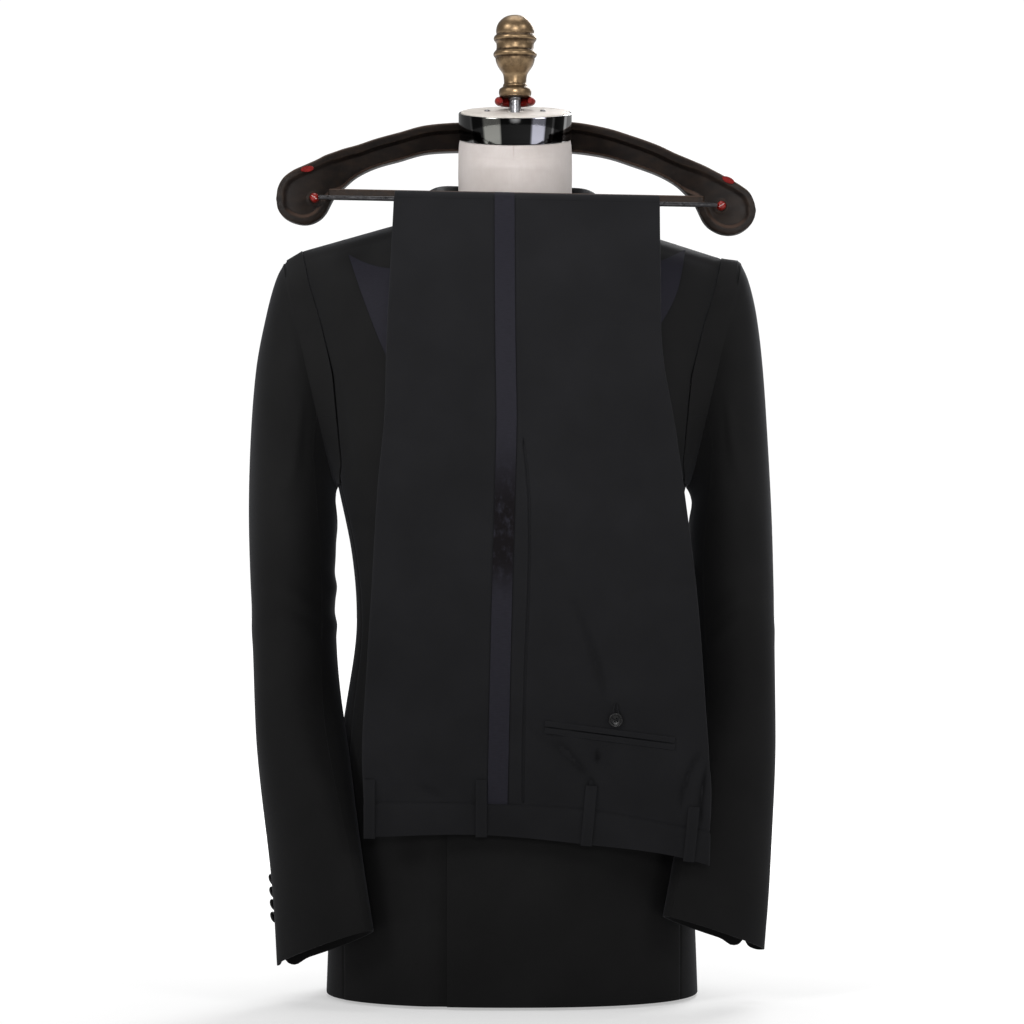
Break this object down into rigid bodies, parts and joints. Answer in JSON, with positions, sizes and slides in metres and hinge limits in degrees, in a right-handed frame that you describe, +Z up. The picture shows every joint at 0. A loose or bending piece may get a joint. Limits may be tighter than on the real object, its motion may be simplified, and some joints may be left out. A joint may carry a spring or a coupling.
{
  "type": "tuxedo on a limbless dress form",
  "caption": "Double-breasted tuxedo jacket with satin peak lapels on a limbless dress form, its striped trousers folded over a hanger at the neck.",
  "frame": {"origin": "middle of the form's flat underside, on the surface that it stands on", "axes": "+Z up; -Y the front; +X the wearer's left"},
  "size_m": [0.4979, 0.2716, 0.9356],
  "materials": {
    "black_wool": "fine black worsted wool, matt with a faint sheen",
    "satin": "dark blue-grey silk satin",
    "black_button": "black, softly polished",
    "linen": "natural linen over the form",
    "cream_cap": "cream painted disc",
    "chrome": "mirror polished",
    "steel": "turned steel",
    "aged_brass": "aged satin brass",
    "brown_moulding": "very dark brown, worn",
    "red_plastic": "red, glossy"
  },
  "bodies": {
    "root": {"belt_loop_1": "black_wool", "belt_loop_2": "black_wool", "belt_loop_3": "black_wool", "belt_loop_4": "black_wool", "cap_screw_1": "steel", "cap_screw_2": "steel", "cuff_button_left_1": "black_button", "cuff_button_left_2": "black_button", "cuff_button_left_3": "black_button", "cuff_button_left_4": "black_button", "cuff_button_right_1": "black_button", "cuff_button_right_2": "black_button", "cuff_button_right_3": "black_button", "cuff_button_right_4": "black_button", "finial": "aged_brass", "form_base": "brown_moulding", "form_torso": "linen", "front_button_1": "black_button", "front_button_2": "black_button", "hanger_body": "brown_moulding", "hanger_hook": "red_plastic", "hanger_rod": "steel", "hanger_stem": "red_plastic", "hip_pocket_button": "black_button", "hip_pocket_jet_lower": "black_wool", "hip_pocket_jet_upper": "black_wool", "hip_pocket_loop": "black_wool", "jacket_back_left": "black_wool", "jacket_back_right": "black_wool", "jacket_collar": "black_wool", "jacket_front_left": "black_wool", "jacket_front_right": "black_wool", "jacket_lapel_left": "satin", "jacket_lapel_right": "satin", "jacket_side_left": "black_wool", "jacket_side_right": "black_wool", "jacket_top_sleeve_left": "black_wool", "jacket_top_sleeve_right": "black_wool", "jacket_under_sleeve_left": "black_wool", "jacket_under_sleeve_right": "black_wool", "neck_cap": "cream_cap", "neck_post": "steel", "neck_ring": "chrome", "rod_screw_left": "red_plastic", "rod_screw_right": "red_plastic", "size_dot_left": "red_plastic", "size_dot_right": "red_plastic", "trousers_hidden_layers": "black_wool", "trousers_inner_leg": "black_wool", "trousers_right_back": "black_wool", "trousers_right_front": "black_wool", "trousers_side_stripe": "satin", "trousers_waistband_left": "black_wool", "trousers_waistband_right": "black_wool"}
  },
  "joints": []
}
